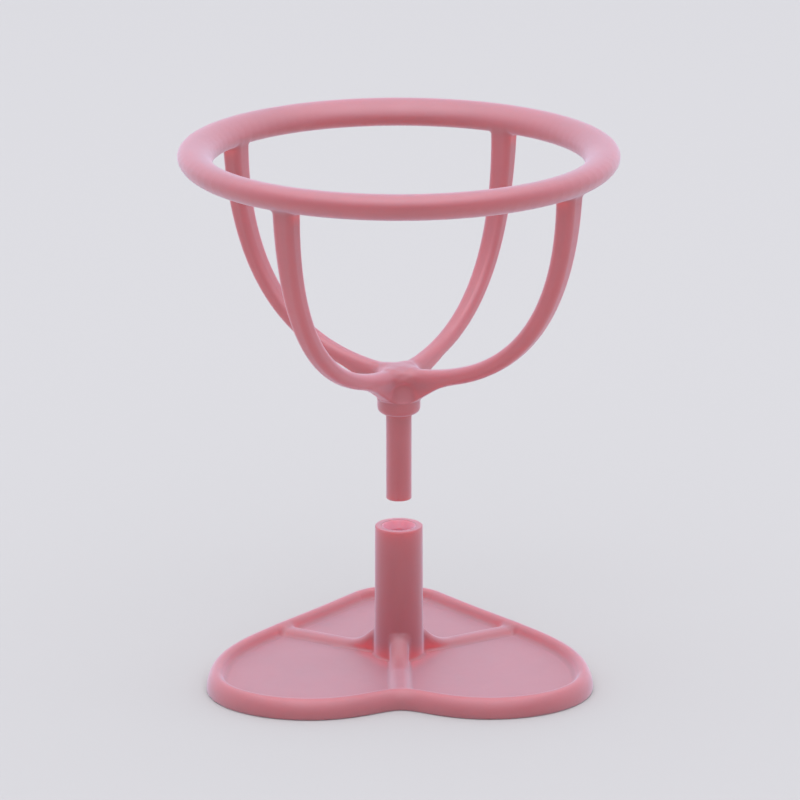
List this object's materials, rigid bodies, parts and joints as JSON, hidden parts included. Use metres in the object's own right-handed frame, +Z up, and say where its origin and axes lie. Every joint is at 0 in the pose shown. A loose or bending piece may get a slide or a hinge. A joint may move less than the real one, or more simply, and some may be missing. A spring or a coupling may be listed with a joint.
{
  "type": "makeup sponge holder",
  "caption": "Round wire-like cradle on curved ribs, with a pin that plugs into a post on a heart-shaped tray, to hold a makeup sponge while it dries.",
  "frame": {"origin": "on the post's axis, on the surface that the base stands on, which is also the bottom centre of the whole", "axes": "+Z up along the post and the pin; the heart's tip points along +Y and its notch along -Y"},
  "size_m": [0.0606, 0.0606, 0.0752],
  "materials": {
    "pink_plastic": "soft-gloss moulded plastic, slightly translucent"
  },
  "bodies": {
    "base": {"base": "pink_plastic"},
    "cradle": {"cradle": "pink_plastic"}
  },
  "joints": [
    {"name": "cradle_pull", "type": "slide", "parent": "base", "child": "cradle", "axis": [0, 0, 1], "range_m": [-0.01635, 0]}
  ]
}
